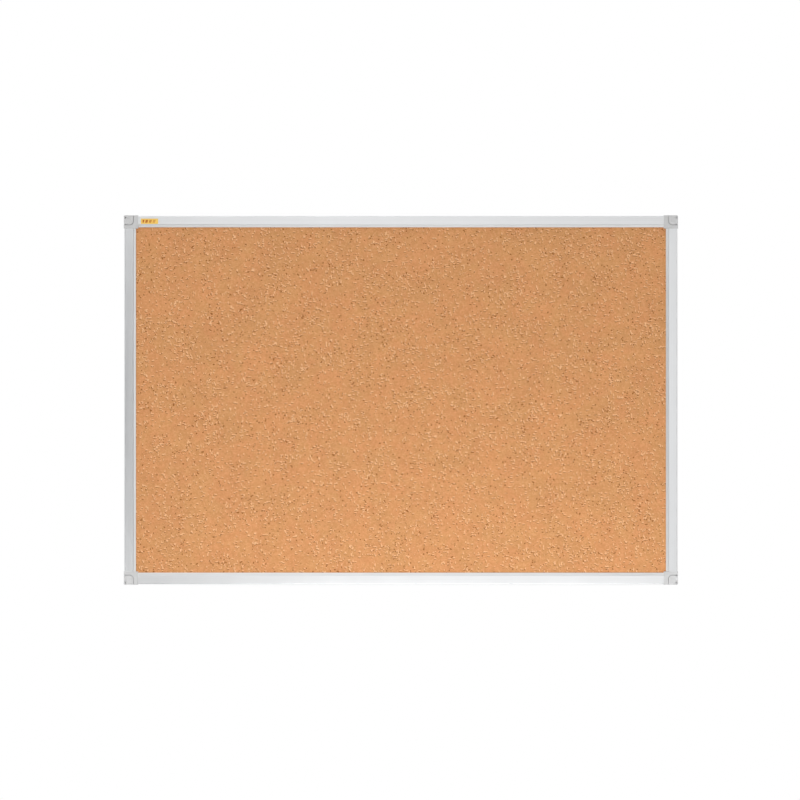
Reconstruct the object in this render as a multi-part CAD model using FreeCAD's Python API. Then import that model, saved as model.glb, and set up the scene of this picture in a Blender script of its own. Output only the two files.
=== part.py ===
import FreeCAD, Part
import math
import os

# Wall-mounted cork bulletin board in an aluminium frame, in millimetres.
# X points right, Z up, and the front faces -Y. The wall is the plane y = 0, and the origin is the
# centre of the four wall-screw holes in that plane.
# Around a corner, "a" is the distance in from the board's outer left or right side and "b" the
# distance in from its outer top or bottom side. Depths are given as y, from -DEPTH to 0.

Vec = FreeCAD.Vector

# ---- overall -------------------------------------------------------------------------------
WIDTH = 900.0             # over the corner mouldings
HEIGHT = 600.0
DEPTH = 17.0              # wall to the front of the corner mouldings
HALF_W = WIDTH / 2
HALF_H = HEIGHT / 2
FRONT = -DEPTH

# ---- aluminium rails -----------------------------------------------------------------------
RAIL_INSET = 0.8          # the rails' outer faces sit this far inside the corner mouldings' faces
RAIL_SHY = 0.6            # and their front and back faces this far behind them
RAIL_FRONT = FRONT + RAIL_SHY
RAIL_DEPTH = DEPTH - 2 * RAIL_SHY
RAIL_BACK = RAIL_FRONT + RAIL_DEPTH
RAIL_WIDTH = 18.6         # outer face to the nose of the front lip
FACE_WIDTH = 14.6         # front face
FACE_EDGE_R = 0.9         # rounding of its inner edge
GROOVE_FLOOR = 1.5        # depth of the fine groove between face and lip
LIP_START = 0.9           # the lip begins this far behind the face
LIP_FALL = 0.8            # and slopes this much further back towards the cork
LIP_UNDERSIDE = 3.0
REAR_LIP_WIDTH = 16.0     # outer face to the end of the lip behind the panel
REAR_WALL = 1.4           # thickness of the wall and lip at the back
SLOT_DEPTH_AT = 10.3      # outer face to the bottom of the panel slot
CHAMBER_NEAR = 1.3        # the hollow chamber, from the outer face
CHAMBER_FAR = 9.0
CHAMBER_FRONT = 1.4

# ---- corner mouldings ----------------------------------------------------------------------
HEAD_WIDE = 23.0          # the block seen from the front, along X and Z
HEAD_TALL = 21.4
CORNER_RADIUS = 2.0       # outer upright edge
EDGE_RADIUS = 0.5         # front edges
BACK_CHAMFER = 0.3
LEG_LENGTH = 36.0         # spigot that slides into a rail's chamber
LEG_TAPER = 3.0
LEG_CLEARANCE = 0.15
SLOT_LAND = 28.5          # the block is solid where a + b is below this

# ---- panel: cork on softboard with a backing sheet -----------------------------------------
PANEL_CLEARANCE = 0.5     # to the bottom of the rails' slots
CORK_THICK = 2.6
CORE_THICK = 8.0
BACKING_THICK = 0.6
PANEL_GAP = 0.1           # between the panel and the lips before and behind it
PANEL_CHAMFER = 6.0       # cut off each corner, so that it clears the mouldings

# ---- wall screws and the pockets for them --------------------------------------------------
WALL_HOLE_IN = 8.5        # a and b of each wall-screw hole
WALL_HOLE_R = 2.5
POCKET_R = 4.8
POCKET_FLOOR = -4.0

# ---- hinged covers over the screw pockets --------------------------------------------------
COVER_SIZE = 15.5
COVER_THICK = 1.6
COVER_INNER_R = 6.5
COVER_GAP = 0.7           # around the cover
COVER_FLOOR_GAP = 0.2     # under it
GUTTER_FLOOR = -14.0      # the recess is this deep under the cover's inner edges
GUTTER_FROM = 1.6         # a and b where that deeper part begins
SEAT_WALL = 1.5           # ring around the screw pocket that the closed cover rests over
DISH_R = 5.2              # thumb dish in the middle of the cover
DISH_DEPTH = 0.35
HINGE_IN = 1.3            # the hinge axis, from the outer side face and from the front
BARREL_R = 1.3
BARREL_GAP = 0.2          # under the barrel
BARREL_SHORT = 1.2        # the barrel stops this far short of the cover's ends
RELIEF_TO = 4.2           # and the cover is notched there, from its hinge side to this a
TRUNNION_R = 0.7
TRUNNION_LENGTH = 1.9
TRUNNION_PLAY = 0.05      # radial
EAR_LENGTH = 3.2          # part of the moulding that holds the cover's outer trunnion
EAR_R = 1.9
TONGUE_THICK = 1.1        # catch under the cover
TONGUE_WIDE = 3.0
TONGUE_LONG = 3.0

# ---- rail screws ---------------------------------------------------------------------------
SCREW_FROM_END = 14.0     # from the end of the rail
SCREW_HEAD_R = 2.75
SCREW_SHANK_R = 1.35
SCREW_LENGTH = 9.5
SCREW_PLAY = 0.05
SCREW_POINT = 1.6
CROSS_WIDE = 0.7
CROSS_LONG = 2.6
CROSS_DEEP = 1.0

# ---- label ---------------------------------------------------------------------------------
LABEL_WIDE = 28.0
LABEL_TALL = 8.6
LABEL_THICK = 0.12
LABEL_RADIUS = 0.8
LABEL_FROM_SIDE = 27.8
LABEL_FROM_TOP = 5.5

# ---- worked out from the above -------------------------------------------------------------
CORK_FRONT = RAIL_FRONT + LIP_UNDERSIDE + PANEL_GAP
CORE_FRONT = CORK_FRONT + CORK_THICK
BACKING_FRONT = CORE_FRONT + CORE_THICK
BACKING_BACK = BACKING_FRONT + BACKING_THICK
SLOT_FRONT = RAIL_FRONT + LIP_UNDERSIDE
SLOT_BACK = BACKING_BACK + PANEL_GAP
CHAMBER_BACK = RAIL_BACK - REAR_WALL
CHAMBER_MID = (CHAMBER_NEAR + CHAMBER_FAR) / 2
RECESS_FLOOR = FRONT + COVER_THICK + COVER_FLOOR_GAP
RECESS_SIZE = COVER_SIZE + COVER_GAP
HINGE_Y = FRONT + HINGE_IN
SCREW_AXIS_IN = RAIL_INSET + CHAMBER_MID


# ---- helpers -------------------------------------------------------------------------------
def rounded_face(corners, place):
    """A flat face with a tangent arc at each corner (p, q, radius); place maps p, q to space."""
    spots = [place(p, q) for p, q, _ in corners]
    turns = []
    for i, (_, _, radius) in enumerate(corners):
        here = spots[i]
        if radius == 0:
            turns.append((here, None, here))
            continue
        back = (spots[i - 1] - here).normalize()
        ahead = (spots[(i + 1) % len(spots)] - here).normalize()
        half_angle = back.getAngle(ahead) / 2
        reach = radius / math.tan(half_angle)
        centre = here + (back + ahead).normalize() * (radius / math.sin(half_angle))
        middle = centre + (here - centre).normalize() * radius
        turns.append((here + back * reach, middle, here + ahead * reach))
    edges = []
    for i, (start, middle, end) in enumerate(turns):
        if middle:
            edges.append(Part.Arc(start, middle, end).toShape())
        following = turns[(i + 1) % len(turns)][0]
        edges.append(Part.LineSegment(end, following).toShape())
    return Part.Face(Part.Wire(edges))


def front_view(y):
    """Place a, b around the top right corner, at depth y."""
    return lambda a, b: Vec(HALF_W - a, y, HALF_H - b)


def plate(corners, y0, y1):
    """A plate with the outline of corners (a, b, radius), from depth y0 to y1."""
    return rounded_face(corners, front_view(y0)).extrude(Vec(0, y1 - y0, 0))


def block(a0, a1, b0, b1, y0, y1):
    """A plain box around the top right corner."""
    return Part.makeBox(a1 - a0, y1 - y0, b1 - b0, Vec(HALF_W - a1, y0, HALF_H - b1))


def bore(radius, a, b, y0, y1):
    """A cylinder along Y."""
    return Part.makeCylinder(radius, y1 - y0, Vec(HALF_W - a, y0, HALF_H - b), Vec(0, 1, 0))


def hinge_rod(radius, b0, b1):
    """A cylinder around the cover's hinge axis, which runs along Z."""
    foot = Vec(HALF_W - HINGE_IN, HINGE_Y, HALF_H - b1)
    return Part.makeCylinder(radius, b1 - b0, foot, Vec(0, 0, 1))


def edges_in_plane(shape, y):
    """The edges of a shape that lie in the plane at depth y."""
    return [e for e in shape.Edges if abs(e.BoundBox.YMin - y) < 1e-6 and e.BoundBox.YLength < 1e-6]


def mirrored(shape, side, end):
    """A copy for the corner on this side (-1 left, 1 right) and end (-1 bottom, 1 top)."""
    origin = Vec(0, 0, 0)
    if side < 0:
        shape = shape.mirror(origin, Vec(1, 0, 0))
    if end < 0:
        shape = shape.mirror(origin, Vec(0, 0, 1))
    return shape


def save(node, shape):
    """Write one sub-part, checked to be made of valid closed solids."""
    solids = shape.Solids
    if not solids or not all(s.isValid() and s.isClosed() for s in solids):
        raise RuntimeError(node + " is not made of valid closed solids")
    kept = solids[0] if len(solids) == 1 else Part.makeCompound(solids)
    kept.exportStep("parts/" + node + ".step")
    print("%-26s %d solid(s) %10.1f mm3" % (node, len(solids), sum(s.Volume for s in solids)))


# ---- rails ---------------------------------------------------------------------------------
def countersunk_hole(x):
    """The conical screw hole through a rail's back wall, for a rail that lies along X."""
    mouth = Vec(x, RAIL_BACK, -CHAMBER_MID)
    return Part.makeCone(SCREW_HEAD_R + SCREW_PLAY, SCREW_SHANK_R + SCREW_PLAY, REAR_WALL,
                         mouth, Vec(0, -1, 0))


def rail(length):
    """A hollow extrusion along X whose outer face is the plane z = 0, facing up."""
    step = FACE_WIDTH + 0.4
    outline = [
        (0, 0, 1.6),
        (FACE_WIDTH, 0, FACE_EDGE_R),
        (step, GROOVE_FLOOR, 0.1),
        (step + 0.4, GROOVE_FLOOR, 0.1),
        (step + 0.6, LIP_START, 0.2),
        (RAIL_WIDTH, LIP_START + LIP_FALL, 0.5),
        (RAIL_WIDTH, LIP_UNDERSIDE, 0.2),
        (SLOT_DEPTH_AT, LIP_UNDERSIDE, 0),
        (SLOT_DEPTH_AT, RAIL_DEPTH - REAR_WALL, 0),
        (REAR_LIP_WIDTH, RAIL_DEPTH - REAR_WALL, 0.3),
        (REAR_LIP_WIDTH, RAIL_DEPTH, 0.3),
        (0, RAIL_DEPTH, 0.8),
    ]
    chamber = [
        (CHAMBER_NEAR, CHAMBER_FRONT, 0.3),
        (CHAMBER_FAR, CHAMBER_FRONT, 0.3),
        (CHAMBER_FAR, RAIL_DEPTH - REAR_WALL, 0.3),
        (CHAMBER_NEAR, RAIL_DEPTH - REAR_WALL, 0.3),
    ]

    def section(u, depth):
        return Vec(-length / 2, RAIL_FRONT + depth, -u)

    run = Vec(length, 0, 0)
    bar = rounded_face(outline, section).extrude(run)
    bar = bar.cut(rounded_face(chamber, section).extrude(run))
    for x in (-1, 1):
        bar = bar.cut(countersunk_hole(x * (length / 2 - SCREW_FROM_END)))
    return bar


def make_rails():
    level = rail(WIDTH - 2 * HEAD_WIDE)
    level.translate(Vec(0, 0, HALF_H - RAIL_INSET))
    save("top_rail", level)
    save("bottom_rail", mirrored(level, 1, -1))
    upright = rail(HEIGHT - 2 * HEAD_TALL)
    upright.rotate(Vec(0, 0, 0), Vec(0, 1, 0), 90)
    upright.translate(Vec(HALF_W - RAIL_INSET, 0, 0))
    save("right_rail", upright)
    save("left_rail", mirrored(upright, -1, 1))


# ---- panel ---------------------------------------------------------------------------------
def panel_layer(y0, y1):
    """One sheet of the panel, with its four corners cut off."""
    edge = RAIL_INSET + SLOT_DEPTH_AT + PANEL_CLEARANCE
    half_w = HALF_W - edge
    half_h = HALF_H - edge
    points = [
        Vec(half_w, y0, half_h - PANEL_CHAMFER), Vec(half_w - PANEL_CHAMFER, y0, half_h),
        Vec(PANEL_CHAMFER - half_w, y0, half_h), Vec(-half_w, y0, half_h - PANEL_CHAMFER),
        Vec(-half_w, y0, PANEL_CHAMFER - half_h), Vec(PANEL_CHAMFER - half_w, y0, -half_h),
        Vec(half_w - PANEL_CHAMFER, y0, -half_h), Vec(half_w, y0, PANEL_CHAMFER - half_h),
    ]
    outline = Part.makePolygon(points + points[:1])
    return Part.Face(outline).extrude(Vec(0, y1 - y0, 0))


def make_panel():
    save("cork_sheet", panel_layer(CORK_FRONT, CORE_FRONT))
    save("softboard_core", panel_layer(CORE_FRONT, BACKING_FRONT))
    save("back_sheet", panel_layer(BACKING_FRONT, BACKING_BACK))


# ---- corner mouldings ----------------------------------------------------------------------
def leg(start):
    """A tapered, cored spigot along a, for the chamber of a level rail."""
    near = RAIL_INSET + CHAMBER_NEAR + LEG_CLEARANCE
    far = RAIL_INSET + CHAMBER_FAR - LEG_CLEARANCE
    front = RAIL_FRONT + CHAMBER_FRONT + LEG_CLEARANCE
    back = CHAMBER_BACK - LEG_CLEARANCE
    shoulder = start + LEG_LENGTH - LEG_TAPER
    screw_a = start + SCREW_FROM_END
    boss = 4.5
    wall = 1.4
    draft = 0.7

    def ring(a, inset):
        corners = [Vec(HALF_W - a, y, HALF_H - b) for y, b in (
            (front + inset, near + inset), (front + inset, far - inset),
            (back - inset, far - inset), (back - inset, near + inset))]
        return Part.makePolygon(corners + corners[:1])

    shape = block(start - 0.5, shoulder, near, far, front, back)
    shape = shape.fuse(Part.makeLoft([ring(shoulder, 0), ring(start + LEG_LENGTH, draft)], True, True))
    for a0, a1 in ((start + 1.5, screw_a - boss), (screw_a + boss, shoulder - wall)):
        shape = shape.cut(block(a0, a1, near + wall, far - wall, front + wall, back + 1))
    pilot = bore(SCREW_SHANK_R + SCREW_PLAY, screw_a, SCREW_AXIS_IN,
                 RAIL_BACK - SCREW_LENGTH - 0.6, back + 1)
    return shape.cut(pilot).removeSplitter()


def other_way(shape):
    """Swap a and b: the same shape for the upright rail of the top right corner."""
    diagonal = Vec(1, 0, -1)
    return shape.mirror(Vec(HALF_W, 0, HALF_H), diagonal)


def gutter():
    """The deeper part of the recess, around the ring that the screw pocket is bored in."""
    outline = [(GUTTER_FROM, GUTTER_FROM, 0), (RECESS_SIZE, GUTTER_FROM, 0),
               (RECESS_SIZE, RECESS_SIZE, COVER_INNER_R + COVER_GAP), (GUTTER_FROM, RECESS_SIZE, 0)]
    seat = bore(POCKET_R + SEAT_WALL, WALL_HOLE_IN, WALL_HOLE_IN, FRONT, 0)
    ear = block(0, HINGE_IN + EAR_R, 0, EAR_LENGTH, FRONT, 0)
    return plate(outline, RECESS_FLOOR - 0.1, GUTTER_FLOOR).cut(seat).cut(ear)


def cover_recess():
    """The space for a hinged cover, cut out of the block's front."""
    above = FRONT - 1
    outer = -1.0
    outline = [(outer, outer, 0), (RECESS_SIZE, outer, 0),
               (RECESS_SIZE, RECESS_SIZE, COVER_INNER_R + COVER_GAP), (outer, RECESS_SIZE, 0)]
    recess = plate(outline, above, RECESS_FLOOR)
    ear = hinge_rod(EAR_R, 0, EAR_LENGTH).fuse(block(0, HINGE_IN, 0, EAR_LENGTH, above, RECESS_FLOOR))
    cradle = hinge_rod(BARREL_R + BARREL_GAP, EAR_LENGTH, RECESS_SIZE)
    swing = block(outer, HINGE_IN, EAR_LENGTH, RECESS_SIZE, above, HINGE_Y + BARREL_R + BARREL_GAP)
    return recess.cut(ear).fuse([cradle, swing, gutter()])


def panel_slot():
    """The space in the block for the panel's cut-off corner."""
    wall = RAIL_INSET + SLOT_DEPTH_AT
    far_a = HEAD_WIDE + 1
    far_b = HEAD_TALL + 1
    outline = [(SLOT_LAND - wall, wall, 0), (far_a, wall, 0), (far_a, far_b, 0),
               (wall, far_b, 0), (wall, SLOT_LAND - wall, 0)]
    return plate(outline, SLOT_FRONT, SLOT_BACK)


def corner_moulding():
    """The moulded corner at the top right: a block with two legs."""
    outline = [(0, 0, CORNER_RADIUS), (HEAD_WIDE, 0, 0), (HEAD_WIDE, HEAD_TALL, 0), (0, HEAD_TALL, 0)]
    head = plate(outline, FRONT, 0)
    head = head.makeFillet(EDGE_RADIUS, edges_in_plane(head, FRONT))
    head = head.makeChamfer(BACK_CHAMFER, edges_in_plane(head, 0))
    head = head.cut(cover_recess()).cut(panel_slot())
    trunnion_hole = TRUNNION_LENGTH + 0.2
    hole_r = TRUNNION_R + TRUNNION_PLAY
    head = head.cut(hinge_rod(hole_r, EAR_LENGTH - trunnion_hole, EAR_LENGTH + 0.1))
    head = head.cut(hinge_rod(hole_r, RECESS_SIZE - 0.1, RECESS_SIZE + trunnion_hole))
    head = head.cut(bore(POCKET_R, WALL_HOLE_IN, WALL_HOLE_IN, FRONT, POCKET_FLOOR))
    head = head.cut(bore(WALL_HOLE_R, WALL_HOLE_IN, WALL_HOLE_IN, POCKET_FLOOR - 1, 1))
    wall = 1.5
    core_from = WALL_HOLE_IN + POCKET_R + 1.7
    core_side = 9.5
    core_front = -12.5
    head = head.cut(block(core_from, HEAD_WIDE - wall, wall, core_side, core_front, 1))
    head = head.cut(block(wall, core_side, core_from, HEAD_TALL - wall, core_front, 1))
    level_leg = leg(HEAD_WIDE)
    upright_leg = other_way(leg(HEAD_TALL))
    return head.fuse([level_leg, upright_leg]).removeSplitter()


# ---- hinged covers -------------------------------------------------------------------------
def screw_cover():
    """The cover at the top right, closed: plate, hinge barrel with trunnions, and catch."""
    back = FRONT + COVER_THICK
    outline = [(0, 0, CORNER_RADIUS), (COVER_SIZE, 0, 0),
               (COVER_SIZE, COVER_SIZE, COVER_INNER_R), (0, COVER_SIZE, 0)]
    lid = plate(outline, FRONT, back)
    lid = lid.makeFillet(EDGE_RADIUS, edges_in_plane(lid, FRONT))
    lid = lid.cut(block(-1, HINGE_IN, -1, COVER_SIZE + 1, FRONT - 1, back + 1))
    ear_room = EAR_LENGTH + COVER_GAP
    lid = lid.cut(hinge_rod(EAR_R + COVER_GAP, -1, ear_room))
    middle = COVER_SIZE / 2 + 0.3
    dish = Part.makeCone(DISH_R, DISH_R - 0.7, DISH_DEPTH,
                         Vec(HALF_W - middle, FRONT, HALF_H - middle), Vec(0, 1, 0))
    lid = lid.cut(dish)
    barrel_from = ear_room + BARREL_SHORT
    barrel_to = COVER_SIZE - BARREL_SHORT
    lid = lid.cut(block(0, RELIEF_TO, ear_room - 0.1, barrel_from, FRONT - 1, back + 1))
    lid = lid.cut(block(0, RELIEF_TO, barrel_to, COVER_SIZE + 1, FRONT - 1, back + 1))
    barrel = hinge_rod(BARREL_R, barrel_from, barrel_to)
    pins = hinge_rod(TRUNNION_R, ear_room - TRUNNION_LENGTH, COVER_SIZE + TRUNNION_LENGTH)
    tongue_a = WALL_HOLE_IN + POCKET_R - 2.0
    tongue = block(tongue_a, tongue_a + TONGUE_THICK, WALL_HOLE_IN - TONGUE_WIDE / 2,
                   WALL_HOLE_IN + TONGUE_WIDE / 2, back - 0.5, back + TONGUE_LONG)
    return lid.fuse([barrel, pins, tongue]).removeSplitter()


def make_corners():
    moulding = corner_moulding()
    cover = screw_cover()
    for end_name, end in (("top", 1), ("bottom", -1)):
        for side_name, side in (("left", -1), ("right", 1)):
            place = end_name + "_" + side_name
            save("corner_" + place, mirrored(moulding, side, end))
            save("screw_cover_" + place, mirrored(cover, side, end))


# ---- rail screws ---------------------------------------------------------------------------
def rail_screw(a, b):
    """A countersunk screw that holds a rail to a moulding's leg, driven in from the back."""
    seat = Vec(HALF_W - a, RAIL_BACK, HALF_H - b)
    inward = Vec(0, -1, 0)
    head = Part.makeCone(SCREW_HEAD_R, SCREW_SHANK_R, REAR_WALL, seat, inward)
    shank_end = SCREW_LENGTH - SCREW_POINT
    shank = Part.makeCylinder(SCREW_SHANK_R, shank_end - REAR_WALL, seat + inward * REAR_WALL, inward)
    point = Part.makeCone(SCREW_SHANK_R, 0.15, SCREW_POINT, seat + inward * shank_end, inward)
    screw = head.fuse([shank, point]).removeSplitter()
    for long_a, long_b in ((CROSS_LONG, CROSS_WIDE), (CROSS_WIDE, CROSS_LONG)):
        slot = Part.makeBox(long_a, CROSS_DEEP + 1, long_b,
                            seat - Vec(long_a / 2, CROSS_DEEP, long_b / 2))
        screw = screw.cut(slot)
    return screw


def make_rail_screws():
    pair = [rail_screw(HEAD_WIDE + SCREW_FROM_END, SCREW_AXIS_IN),
            rail_screw(SCREW_AXIS_IN, HEAD_TALL + SCREW_FROM_END)]
    screws = Part.makeCompound(pair)
    for end_name, end in (("top", 1), ("bottom", -1)):
        for side_name, side in (("left", -1), ("right", 1)):
            save("rail_screws_" + end_name + "_" + side_name, mirrored(screws, side, end))


# ---- label ---------------------------------------------------------------------------------
def make_label():
    left = LABEL_FROM_SIDE - HALF_W
    top = HALF_H - LABEL_FROM_TOP
    corners = [(left, top, LABEL_RADIUS), (left + LABEL_WIDE, top, LABEL_RADIUS),
               (left + LABEL_WIDE, top - LABEL_TALL, LABEL_RADIUS),
               (left, top - LABEL_TALL, LABEL_RADIUS)]
    face = rounded_face(corners, lambda x, z: Vec(x, RAIL_FRONT - LABEL_THICK, z))
    save("label_sticker", face.extrude(Vec(0, LABEL_THICK, 0)))


os.makedirs("parts", exist_ok=True)
make_panel()
make_rails()
make_corners()
make_rail_screws()
make_label()
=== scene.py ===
import math

import bmesh
import bpy
import numpy as np
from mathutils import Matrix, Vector


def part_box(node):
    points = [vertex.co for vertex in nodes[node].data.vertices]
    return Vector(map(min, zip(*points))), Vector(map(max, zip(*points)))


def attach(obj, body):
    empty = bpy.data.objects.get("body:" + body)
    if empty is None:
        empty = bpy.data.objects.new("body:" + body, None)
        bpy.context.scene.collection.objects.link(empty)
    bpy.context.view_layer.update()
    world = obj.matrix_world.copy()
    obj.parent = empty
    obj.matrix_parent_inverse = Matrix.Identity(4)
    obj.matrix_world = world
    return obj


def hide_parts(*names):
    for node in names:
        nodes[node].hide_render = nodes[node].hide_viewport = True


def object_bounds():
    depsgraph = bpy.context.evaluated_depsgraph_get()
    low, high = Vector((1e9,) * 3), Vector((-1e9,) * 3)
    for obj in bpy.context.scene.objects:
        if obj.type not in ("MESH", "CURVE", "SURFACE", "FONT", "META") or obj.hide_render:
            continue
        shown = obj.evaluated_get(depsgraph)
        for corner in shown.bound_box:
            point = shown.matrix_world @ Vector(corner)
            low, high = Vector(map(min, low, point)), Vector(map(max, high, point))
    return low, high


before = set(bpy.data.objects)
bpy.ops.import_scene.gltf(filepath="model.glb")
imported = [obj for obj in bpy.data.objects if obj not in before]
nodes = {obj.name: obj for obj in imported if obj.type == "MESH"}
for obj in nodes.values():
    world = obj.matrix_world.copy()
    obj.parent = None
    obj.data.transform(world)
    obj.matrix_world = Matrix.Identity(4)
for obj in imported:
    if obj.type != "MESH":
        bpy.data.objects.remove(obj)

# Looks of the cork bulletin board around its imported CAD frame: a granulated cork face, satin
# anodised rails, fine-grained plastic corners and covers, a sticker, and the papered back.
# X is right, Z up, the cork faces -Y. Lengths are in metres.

MM = 0.001
cad_low, cad_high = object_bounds()
rng = np.random.default_rng(41)

# ---- the cork's mesh -------------------------------------------------------------------------
CORK_STEP = 2.4 * MM       # average spacing of the face's points
CORK_WANDER = 0.34         # how far a point strays in the plane, in steps
CORK_DENT = 0.06 * MM      # depth of the ordinary relief
CORK_DENT_BIAS = 1.5       # above 1, most dents are shallow
CORK_PIT = 0.30 * MM       # depth of the deepest open pores
CORK_PIT_LEAST = 0.6       # the shallowest pore, as a share of the deepest
CORK_PIT_SHARE = 0.03      # how many of the points are pores
CORK_WELD = 0.02 * MM      # edges shorter than this are dissolved
PANEL_CHAMFER = 6 * MM     # the sheet's corners are cut off under the mouldings

# ---- the cork's pattern, in cells or waves per metre ------------------------------------------
GRANULES = 430
BARK_CELLS = 560           # a few of these are bark
STROKES = (300, 720)       # the flecks' cells, along a fleck and across it
GROUPS = 30                # patches with more flecks and darker seams
TONE_WAVES, HUE_WAVES, FINE_WAVES = 24, 33, 2600
EDGE_WAVES = 640           # how finely every outline wanders
EDGE_WANDER = 1.6 * MM     # the whole width of that wander
PAINTED_SHADOW_OFFSET = (0.5 * MM, 0, 1.3 * MM)     # a fleck's painted shadow lies this far to its left and below it
SEAM_TONE = (0.98, 0.90)           # the seams' darkening, outside the groups and within them
FLECK_ABOVE = (0.974, 0.942)       # of the random numbers 0 to 1, those that make a fleck,
BARK_ABOVE = (0.986, 0.966)        # and those that make bark, outside the groups and within
CORK_BUMP = 0.05 * MM
TAN = [                    # the granules' colours, from the darkest to the lightest
    (210, 147, 94), (214, 152, 99), (217, 155, 103), (220, 158, 106), (224, 164, 113)]
# the flecks' painted highlight, and their painted shadow below and to their left
FLECK_PAINTED_HIGHLIGHT = (240, 192, 145)
FLECK_PAINTED_SHADOW = (170, 104, 56)
BARK = (160, 94, 44)

# ---- the other materials ---------------------------------------------------------------------
ANODISED = (230, 231, 232)
DIE_ALONG, DIE_ACROSS = 3, 1500    # the die lines' waves per metre, along the rail and across
CORNER_GREY, COVER_GREY = 208, 210
LABEL_YELLOW = (252, 208, 98)
LABEL_ORANGE = (190, 98, 6)
LABEL_BARS = 4.6           # bars in the label's width
LABEL_LEAN = -0.4          # their lean over the label's height, in bars
LABEL_BAR_SHARE = 0.66     # a bar's width, with the space after it as the rest
LABEL_PRINT_U = (0.10, 0.86)       # the printed part of the label's width
LABEL_PRINT_V = (0.22, 0.78)       # and of its height

# ---- the view --------------------------------------------------------------------------------
CAMERA_DISTANCE = 2.6
VIEW_WIDTH = 1.2987        # what the picture spans at the board's face
VIEW_CENTRE_X = -1.5 * MM
FLOOR_BELOW = 0.65         # under the board's lower edge
FLOOR_RADIUS = 9.0

# ---- the lights ------------------------------------------------------------------------------
SKY = 0.16                 # the surroundings as a light, in every direction; to the eye they are 1
SKY_RIM = 0.80             # more of it in the board's plane, full up to the first lean out of that
SKY_RIM_LEAN = (0.2, 0.8)  # plane and gone at the second
SKY_TOP = 0.55             # and more overhead, a little to the front: none at the first cosine
SKY_TOP_AIM = (0, -0.196, 0.981)
SKY_TOP_SPAN = (0.3, 1.0)  # to that direction, and all of it at the second
LAMPS = [                  # name, place, aimed at, width and height, watts
    ("high_front", (0, -3.2, 1.05), (0, 0, 0.1), (1.5, 0.8), 5.6),
    ("high_left", (-0.9, -3.0, 1.2), (0, 0, 0.1), (0.8, 0.8), 3.9),
    ("middle_front", (0.2, -3.4, 0), (0, 0, 0), (1.0, 0.8), 2.8),
    ("low_left", (-0.9, -3.0, -1.4), (0, 0, -0.1), (1.4, 1.2), 32.0),
    ("low_near", (0.1, -0.6, -0.75), (0.05, 0, -0.25), (0.9, 0.25), 2.9),
    ("right_front", (1.5, -3.2, 0), (0, 0, 0), (1.2, 1.8), 8.8),
    ("left_side", (-2.2, -1.2, -0.2), (-0.2, 0, 0), (0.8, 1.6), 2.5),
    ("left_above", (-1.6, -1.4, 1.2), (-0.1, 0, 0.1), (0.9, 0.9), 4.0),
    ("back_left", (-1.6, 2.2, 1.0), (0, 0, 0), (1.2, 1.2), 10.0),
    ("back_right", (1.6, 2.2, 1.0), (0, 0, 0), (1.2, 1.2), 16.0),
]


# ---- small helpers ---------------------------------------------------------------------------
def colour(red, green, blue):
    """A screen colour, 0 to 255, as a linear RGBA value."""
    def linear(value):
        value /= 255
        return value / 12.92 if value <= 0.04045 else ((value + 0.055) / 1.055) ** 2.4
    return (linear(red), linear(green), linear(blue), 1.0)


def grey(value):
    return colour(value, value, value)


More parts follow.
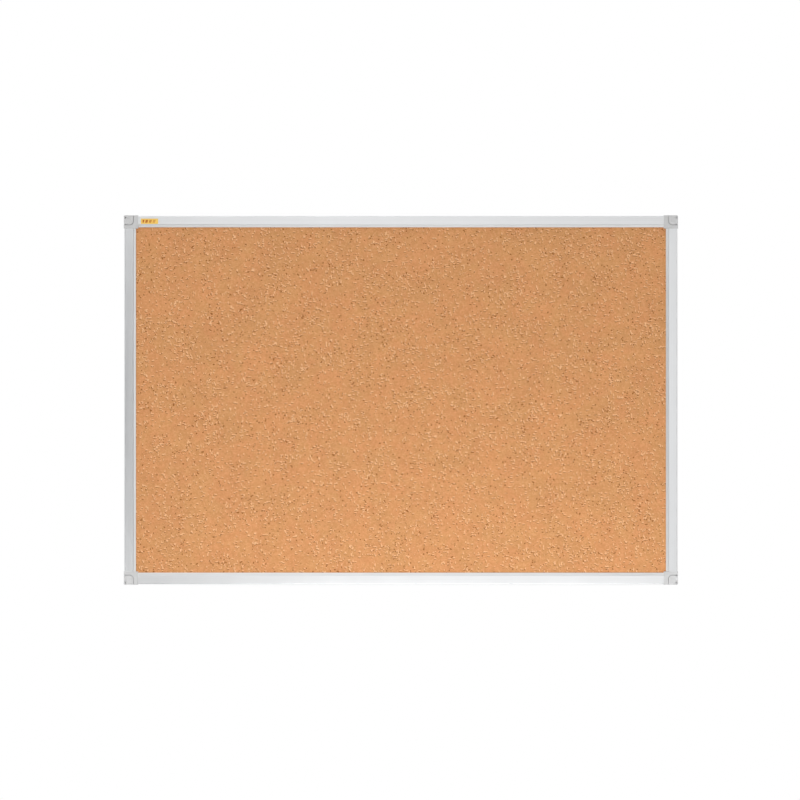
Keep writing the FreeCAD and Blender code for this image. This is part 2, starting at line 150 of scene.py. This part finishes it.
class Shader:
    """A node tree, written as short calls. An input is a number, a colour or a socket."""

    def __init__(self, name, tree=None):
        if tree is None:
            self.material = bpy.data.materials.new(name)
            self.material.use_nodes = True
            tree = self.material.node_tree
        self.tree = tree
        self.surface = tree.nodes.get("Principled BSDF")

    def add(self, kind, inputs, **settings):
        made = self.tree.nodes.new("ShaderNode" + kind)
        for key, value in settings.items():
            setattr(made, key, value)
        for key, value in inputs.items():
            self.feed(made.inputs[key], value)
        return made

    def feed(self, socket, value):
        if isinstance(value, bpy.types.NodeSocket):
            self.tree.links.new(value, socket)
        else:
            socket.default_value = value

    def set(self, **values):
        """Set the surface's sockets, with _ for a space: base_color, roughness, normal."""
        for key, value in values.items():
            self.feed(self.surface.inputs[key.replace("_", " ").title()], value)

    def place(self):
        """The piece's own coordinates, which are metres in the board's frame."""
        return self.add("TexCoord", {}).outputs["Object"]

    def stretch(self, vector, x, y, z):
        return self.add("Mapping", {"Vector": vector, "Scale": (x, y, z)}).outputs["Vector"]

    def noise(self, vector, scale, detail=2.0, roughness=0.5):
        inputs = {"Vector": vector, "Scale": scale, "Detail": detail, "Roughness": roughness}
        return self.add("TexNoise", inputs).outputs

    def cells(self, vector, scale, feature="F1"):
        inputs = {"Vector": vector, "Scale": scale}
        return self.add("TexVoronoi", inputs, feature=feature).outputs

    def parts(self, vector):
        """The three numbers of a colour or vector."""
        return self.add("SeparateXYZ", {"Vector": vector}).outputs

    def some(self, cells, threshold):
        """1 in the cells whose random number passes the threshold, and 0 in the others."""
        return self.math("GREATER_THAN", self.parts(cells["Color"])[0], threshold)

    def math(self, operation, first, second=0.0, clamp=False):
        inputs = {0: first, 1: second}
        return self.add("Math", inputs, operation=operation, use_clamp=clamp).outputs[0]

    def vector(self, operation, first, second):
        return self.add("VectorMath", {0: first, 1: second}, operation=operation).outputs[0]

    def between(self, value, low, high, to_low=0.0, to_high=1.0):
        """Value eased from low..high to to_low..to_high, and held outside."""
        inputs = {"Value": value, "From Min": low, "From Max": high,
                  "To Min": to_low, "To Max": to_high}
        return self.add("MapRange", inputs, interpolation_type="SMOOTHSTEP").outputs["Result"]

    def straight(self, value, low, high, to_low=0.0, to_high=1.0):
        """The same without the easing."""
        inputs = {"Value": value, "From Min": low, "From Max": high,
                  "To Min": to_low, "To Max": to_high}
        return self.add("MapRange", inputs).outputs["Result"]

    def vary(self, noise, low, high):
        """Noise, whose usual values are 0.3 to 0.7, eased to low..high."""
        return self.between(noise, 0.3, 0.7, low, high)

    def mix(self, share, first, second, blend="MIX"):
        made = self.add("Mix", {}, data_type="RGBA", blend_type=blend)
        sockets = [s for s in made.inputs if s.enabled]
        for socket, value in zip(sockets, (share, first, second)):
            self.feed(socket, value)
        return next(s for s in made.outputs if s.enabled)

    def ramp(self, share, stops):
        """A colour ramp; stops are (position, colour)."""
        made = self.add("ValToRGB", {"Fac": share})
        steps = made.color_ramp.elements
        while len(steps) < len(stops):
            steps.new(0.5)
        for step, (position, shade) in zip(steps, stops):
            step.position = position
            step.color = shade
        return made.outputs["Color"]

    def scaled(self, shade, factor):
        """A colour or vector made larger or smaller by a number."""
        if isinstance(shade, tuple):
            shade = shade[:3]
        return self.add("VectorMath", {0: shade, "Scale": factor}, operation="SCALE").outputs[0]

    def bump(self, height, distance, strength):
        inputs = {"Height": height, "Distance": distance, "Strength": strength}
        return self.add("Bump", inputs).outputs["Normal"]


def dress(node, material):
    """Give a CAD node its material."""
    slots = nodes[node].data.materials
    slots.clear()
    slots.append(material)


# ---- the cork's material ---------------------------------------------------------------------
def wander(s, place):
    """The place, with a small wander that frays every outline drawn from it."""
    stray = s.noise(place, EDGE_WAVES, 2.0)["Color"]
    stray = s.vector("SUBTRACT", stray, (0.5, 0.5, 0.5))
    return s.vector("ADD", place, s.scaled(stray, EDGE_WANDER))


def granule_colours(s, place, bent, groups, random):
    """A tan for each granule, with dark seams between them and a slow drift in tone and hue."""
    steps = len(TAN) - 1
    tan = s.ramp(random, [(i / steps, colour(*shade)) for i, shade in enumerate(TAN)])
    seams = s.cells(bent, GRANULES, "DISTANCE_TO_EDGE")["Distance"]
    seam_tone = s.between(groups, 0.0, 1.0, *SEAM_TONE)
    tan = s.scaled(tan, s.straight(seams, 0.02, 0.10, seam_tone, 1.0))
    tan = s.scaled(tan, s.vary(s.noise(place, TONE_WAVES, 3.0, 0.6)["Fac"], 0.975, 1.025))
    hue = s.between(s.noise(place, HUE_WAVES, 2.0, 0.6)["Fac"], 0.32, 0.68)
    tint = s.mix(hue, (1.02, 0.982, 0.98, 1), (0.985, 1.014, 0.985, 1))
    return s.mix(1.0, tan, tint, "MULTIPLY")


def fleck_strokes(s, vector, threshold):
    """1 on a few short strokes, level and upright, and 0 elsewhere."""
    found = 0.0
    along, across = STROKES
    for x, z in ((along, across), (across, along)):
        strokes = s.cells(s.stretch(vector, x, across, z), 1.0)
        found = s.math("MAXIMUM", s.some(strokes, threshold), found)
    return found


def cork_material():
    """Agglomerated cork: pressed tan granules, bark, and flecks in loose groups painted as raised,
    with painted highlights and painted shadows.
    """
    s = Shader("cork_granulate")
    place = s.place()
    bent = wander(s, place)
    groups = s.between(s.noise(place, GROUPS, 3.0, 0.6)["Fac"], 0.42, 0.60)
    granules = s.cells(bent, GRANULES)
    random = s.parts(granules["Color"])
    shade = granule_colours(s, place, bent, groups, random[0])

    # The flecks are painted as if raised: a painted highlight on each stroke, and a painted shadow
    # just below and to its left.
    threshold = s.between(groups, 0.0, 1.0, *FLECK_ABOVE)
    lit = fleck_strokes(s, bent, threshold)
    painted_shadow_mask = fleck_strokes(s, s.vector("ADD", bent, PAINTED_SHADOW_OFFSET), threshold)
    painted_shadow_mask = s.math("SUBTRACT", painted_shadow_mask, lit, clamp=True)
    bark = s.some(s.cells(bent, BARK_CELLS), s.between(groups, 0.0, 1.0, *BARK_ABOVE))
    shade = s.mix(s.math("MULTIPLY", lit, 0.9), shade, colour(*FLECK_PAINTED_HIGHLIGHT))
    shade = s.mix(s.math("MULTIPLY", painted_shadow_mask, 0.8), shade, colour(*FLECK_PAINTED_SHADOW))
    shade = s.mix(bark, shade, colour(*BARK))

    fine = s.noise(place, FINE_WAVES, 2.0)["Fac"]
    shade = s.scaled(shade, s.between(fine, 0.25, 0.75, 0.98, 1.02))
    s.set(base_color=shade, roughness=s.vary(fine, 0.82, 0.95))
    s.surface.inputs["Specular IOR Level"].default_value = 0.25

    relief = s.between(granules["Distance"], 0.0, 0.75, 1.0, 0.0)
    relief = s.math("ADD", relief, s.math("MULTIPLY", random[1], 0.8))
    relief = s.math("ADD", relief, s.math("MULTIPLY", fine, 0.35))
    relief = s.math("SUBTRACT", relief, s.math("MULTIPLY", bark, 0.9))
    s.set(normal=s.bump(relief, CORK_BUMP, 0.4))
    return s.material


# ---- the other materials ---------------------------------------------------------------------
def aluminium_material(name, along_x):
    """Satin anodised extrusion, with fine die lines along its length."""
    s = Shader(name)
    place = s.place()
    level, upright = (DIE_ALONG, DIE_ACROSS) if along_x else (DIE_ACROSS, DIE_ALONG)
    die = s.noise(s.stretch(place, level, DIE_ACROSS, upright), 1.0, 3.0, 0.6)["Fac"]
    cloud = s.noise(place, 14, 3.0, 0.55)["Fac"]
    speck = s.noise(place, 5200, 1.0)["Fac"]
    tone = s.scaled(colour(*ANODISED), s.vary(die, 0.975, 1.015))
    tone = s.scaled(tone, s.vary(cloud, 0.985, 1.01))
    rough = s.between(die, 0.25, 0.75, 0.34, 0.42)
    rough = s.math("ADD", rough, s.math("MULTIPLY", cloud, 0.04))
    height = s.math("ADD", die, s.math("MULTIPLY", speck, 0.35))
    s.set(base_color=tone, roughness=rough, normal=s.bump(height, 0.012 * MM, 0.5))
    s.set(metallic=1.0, anisotropic=0.45, anisotropic_rotation=0.25 if along_x else 0.0)
    return s.material


def plastic_material(name, level):
    """Light grey moulded plastic with a fine spark-eroded grain."""
    s = Shader(name)
    place = s.place()
    grain = s.noise(place, 3200, 2.0, 0.6)["Fac"]
    flow = s.noise(place, 90, 3.0, 0.5)["Fac"]
    handled = s.noise(place, 420, 2.0)["Fac"]
    tone = s.scaled(grey(level), s.vary(flow, 0.975, 1.02))
    tone = s.scaled(tone, s.vary(grain, 0.985, 1.01))
    s.set(base_color=tone, roughness=s.vary(handled, 0.44, 0.56))
    s.set(normal=s.bump(grain, 0.02 * MM, 0.6))
    return s.material


def label_material():
    """A plain yellow sticker with a few slanted orange bars, the first one the strongest."""
    s = Shader("label_print")
    low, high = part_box("label_sticker")
    at = s.parts(s.place())
    u = s.straight(at["X"], low.x, high.x)
    v = s.straight(at["Z"], low.z, high.z)
    slant = s.math("ADD", s.math("MULTIPLY", u, LABEL_BARS), s.math("MULTIPLY", v, LABEL_LEAN))
    bars = s.math("LESS_THAN", s.math("FRACT", slant), LABEL_BAR_SHARE)
    for edge, (first, last) in ((u, LABEL_PRINT_U), (v, LABEL_PRINT_V)):
        bars = s.math("MULTIPLY", bars, s.math("GREATER_THAN", edge, first))
        bars = s.math("MULTIPLY", bars, s.math("LESS_THAN", edge, last))
    fade = s.between(u, 0.15, 0.9, 1.0, 0.45)
    ink = s.noise(s.place(), 900, 2.0)["Fac"]
    paper = s.scaled(colour(*LABEL_YELLOW), s.vary(ink, 0.97, 1.02))
    shade = s.mix(s.math("MULTIPLY", bars, fade), paper, colour(*LABEL_ORANGE))
    s.set(base_color=shade, roughness=s.vary(ink, 0.32, 0.42))
    return s.material


def softboard_material():
    """Pressed wood fibre."""
    s = Shader("softboard_fibre")
    place = s.place()
    fibres = s.noise(s.stretch(place, 260, 2400, 900), 1.0, 4.0, 0.65)["Fac"]
    blotch = s.noise(place, 40, 2.0)["Fac"]
    tone = s.ramp(fibres, [(0.25, colour(122, 92, 62)), (0.55, colour(162, 128, 92)),
                           (0.8, colour(188, 156, 118))])
    s.set(base_color=s.scaled(tone, s.vary(blotch, 0.93, 1.05)))
    s.set(roughness=s.vary(fibres, 0.85, 0.95), normal=s.bump(fibres, 0.15 * MM, 0.7))
    return s.material


def backing_material():
    """Grey-brown recycled liner paper with short fibres and specks."""
    s = Shader("backing_paper")
    place = s.place()
    fibres = s.noise(s.stretch(place, 300, 300, 1500), 1.0, 4.0, 0.7)["Fac"]
    crossing = s.noise(s.stretch(place, 1400, 300, 280), 1.0, 3.0, 0.6)["Fac"]
    cloud = s.noise(place, 18, 4.0, 0.6)["Fac"]
    tone = s.ramp(fibres, [(0.28, colour(150, 132, 110)), (0.5, colour(176, 158, 134)),
                           (0.74, colour(196, 180, 158))])
    tone = s.scaled(tone, s.vary(crossing, 0.95, 1.04))
    tone = s.scaled(tone, s.vary(cloud, 0.94, 1.05))
    specks = s.cells(place, 260)
    speck = s.math("MULTIPLY", s.some(specks, 0.93), s.math("LESS_THAN", specks["Distance"], 0.28))
    tone = s.mix(s.math("MULTIPLY", speck, 0.55), tone, colour(96, 78, 60))
    s.set(base_color=tone, roughness=s.vary(fibres, 0.78, 0.92))
    s.set(normal=s.bump(s.math("ADD", fibres, crossing), 0.05 * MM, 0.6))
    return s.material


def screw_material():
    """Zinc-plated steel, a little dulled."""
    s = Shader("zinc_steel")
    cloud = s.noise(s.place(), 600, 3.0, 0.6)["Fac"]
    tone = s.ramp(cloud, [(0.3, colour(150, 148, 140)), (0.7, colour(186, 185, 178))])
    s.set(base_color=tone, roughness=s.vary(cloud, 0.30, 0.46), metallic=1.0)
    s.set(normal=s.bump(cloud, 0.02 * MM, 0.4))
    return s.material


# ---- the cork sheet --------------------------------------------------------------------------
def cork_points(low, high, columns, rows):
    """The face's points, rows by columns by XYZ: a strayed grid with a dented, pitted surface."""
    x, z = np.meshgrid(np.linspace(low.x, high.x, columns), np.linspace(low.z, high.z, rows))
    stray_x = rng.uniform(-1, 1, x.shape) * CORK_WANDER * (high.x - low.x) / (columns - 1)
    stray_z = rng.uniform(-1, 1, z.shape) * CORK_WANDER * (high.z - low.z) / (rows - 1)
    stray_x[:, [0, -1]] = 0
    stray_z[[0, -1], :] = 0
    dent = rng.uniform(0, 1, x.shape) ** CORK_DENT_BIAS * CORK_DENT
    pits = rng.uniform(0, 1, x.shape) < CORK_PIT_SHARE
    dent = np.where(pits, CORK_PIT * rng.uniform(CORK_PIT_LEAST, 1, x.shape), dent)
    return np.stack([x + stray_x, low.y + dent, z + stray_z], axis=-1)


def cut_corners(points, low, high):
    """Move the points beyond each corner's chamfer onto it."""
    x, z = points[..., 0], points[..., 2]
    from_side = np.minimum(x - low.x, high.x - x)
    from_end = np.minimum(z - low.z, high.z - z)
    short = np.maximum(0, PANEL_CHAMFER - from_side - from_end) / 2
    x += np.where(x < 0, short, -short)
    z += np.where(z < 0, short, -short)


def outline_of(bm):
    """The open sheet's border as vertices, in the order its faces run along it."""
    onward = {}
    for loop in (e.link_loops[0] for e in bm.edges if e.is_boundary):
        onward[loop.vert] = loop.link_loop_next.vert
    outline = [min(onward, key=lambda v: (v.co.x, v.co.z))]
    while len(outline) < len(onward):
        outline.append(onward[outline[-1]])
    return outline


def close_sheet(bm, back):
    """Carry the face's outline straight back and close it there with one flat face."""
    front = outline_of(bm)
    rear = [bm.verts.new((v.co.x, back, v.co.z)) for v in front]
    for i in range(len(front)):
        bm.faces.new((front[i], front[i - 1], rear[i - 1], rear[i]))
    bm.faces.new(rear[::-1])


def make_cork():
    low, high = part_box("cork_sheet")
    columns = round((high.x - low.x) / CORK_STEP) + 1
    rows = round((high.z - low.z) / CORK_STEP) + 1
    points = cork_points(low, high, columns, rows)
    cut_corners(points, low, high)
    index = np.arange(columns * rows).reshape(rows, columns)
    quads = np.stack([index[:-1, :-1], index[:-1, 1:], index[1:, 1:], index[1:, :-1]], axis=-1)
    mesh = bpy.data.meshes.new("cork_face")
    mesh.from_pydata(points.reshape(-1, 3).tolist(), [], quads.reshape(-1, 4).tolist())
    bm = bmesh.new()
    bm.from_mesh(mesh)
    bmesh.ops.dissolve_degenerate(bm, dist=CORK_WELD, edges=bm.edges)
    close_sheet(bm, high.y)
    for face in bm.faces:
        face.smooth = True
    bm.to_mesh(mesh)
    bm.free()
    piece = bpy.data.objects.new("cork_face", mesh)
    bpy.context.collection.objects.link(piece)
    mesh.materials.append(cork_material())
    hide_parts("cork_sheet")
    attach(piece, "board")


# ---- dress the CAD nodes ---------------------------------------------------------------------
def dress_frame():
    level = aluminium_material("anodised_level", True)
    upright = aluminium_material("anodised_upright", False)
    dress("top_rail", level)
    dress("bottom_rail", level)
    dress("left_rail", upright)
    dress("right_rail", upright)
    moulding = plastic_material("corner_plastic_grain", CORNER_GREY)
    cover = plastic_material("cover_plastic_grain", COVER_GREY)
    steel = screw_material()
    for end in ("top", "bottom"):
        for side in ("left", "right"):
            corner = end + "_" + side
            dress("corner_" + corner, moulding)
            dress("screw_cover_" + corner, cover)
            dress("rail_screws_" + corner, steel)
    dress("softboard_core", softboard_material())
    dress("back_sheet", backing_material())
    dress("label_sticker", label_material())


# ---- studio ----------------------------------------------------------------------------------
def area_light(name, spot, aim, size, power):
    data = bpy.data.lights.new(name, "AREA")
    data.shape = "RECTANGLE"
    data.size, data.size_y = size
    data.energy = power
    lamp = bpy.data.objects.new(name, data)
    bpy.context.collection.objects.link(lamp)
    lamp.location = spot
    lamp.rotation_euler = (Vector(aim) - Vector(spot)).to_track_quat("-Z", "Y").to_euler()
    lamp.visible_camera = False


def make_world():
    """White to the eye. As a light, brightest around the board's edges and overhead."""
    world = bpy.data.worlds.new("studio")
    bpy.context.scene.world = world
    world.use_nodes = True
    world.node_tree.nodes.clear()
    s = Shader("studio", world.node_tree)
    direction = s.add("TexCoord", {}).outputs["Generated"]
    lean = s.math("ABSOLUTE", s.parts(direction)["Y"])
    rim = s.between(lean, *SKY_RIM_LEAN, SKY_RIM, 0.0)
    top = s.add("VectorMath", {0: direction, 1: SKY_TOP_AIM}, operation="DOT_PRODUCT")
    top = s.between(top.outputs["Value"], *SKY_TOP_SPAN, 0.0, SKY_TOP)
    level = s.math("ADD", s.math("ADD", rim, top), SKY)
    lit = s.add("Background", {"Color": (1, 1, 1, 1), "Strength": level}).outputs[0]
    seen = s.add("Background", {"Color": (1, 1, 1, 1), "Strength": 1.0}).outputs[0]
    eye = s.add("LightPath", {}).outputs["Is Camera Ray"]
    shown = s.add("MixShader", {0: eye, 1: lit, 2: seen}).outputs[0]
    s.add("OutputWorld", {"Surface": shown})


def make_floor():
    """A wide pale floor that runs out into the white backdrop."""
    bm = bmesh.new()
    bmesh.ops.create_circle(bm, cap_ends=True, radius=FLOOR_RADIUS, segments=96)
    mesh = bpy.data.meshes.new("floor")
    bm.to_mesh(mesh)
    bm.free()
    floor = bpy.data.objects.new("floor", mesh)
    bpy.context.collection.objects.link(floor)
    floor.location = (0, 0, cad_low.z - FLOOR_BELOW)
    s = Shader("floor_white")
    s.set(base_color=grey(190), roughness=0.9)
    glow = s.add("Emission", {"Color": (1, 1, 1, 1), "Strength": 1.0}).outputs[0]
    eye = s.add("LightPath", {}).outputs["Is Camera Ray"]
    shown = s.add("MixShader", {0: eye, 1: s.surface.outputs[0], 2: glow}).outputs[0]
    s.feed(s.tree.nodes["Material Output"].inputs["Surface"], shown)
    mesh.materials.append(s.material)


def make_camera():
    data = bpy.data.cameras.new("camera")
    camera = bpy.data.objects.new("camera", data)
    bpy.context.collection.objects.link(camera)
    camera.location = (VIEW_CENTRE_X, cad_low.y - CAMERA_DISTANCE, 0)
    camera.rotation_euler = (math.radians(90), 0, 0)
    data.lens = data.sensor_width * CAMERA_DISTANCE / VIEW_WIDTH
    bpy.context.scene.camera = camera


def make_studio():
    make_world()
    make_floor()
    make_camera()
    for name, spot, aim, size, power in LAMPS:
        area_light(name, spot, aim, size, power)
    bpy.context.scene.view_settings.view_transform = "Standard"


make_studio()
dress_frame()
make_cork()
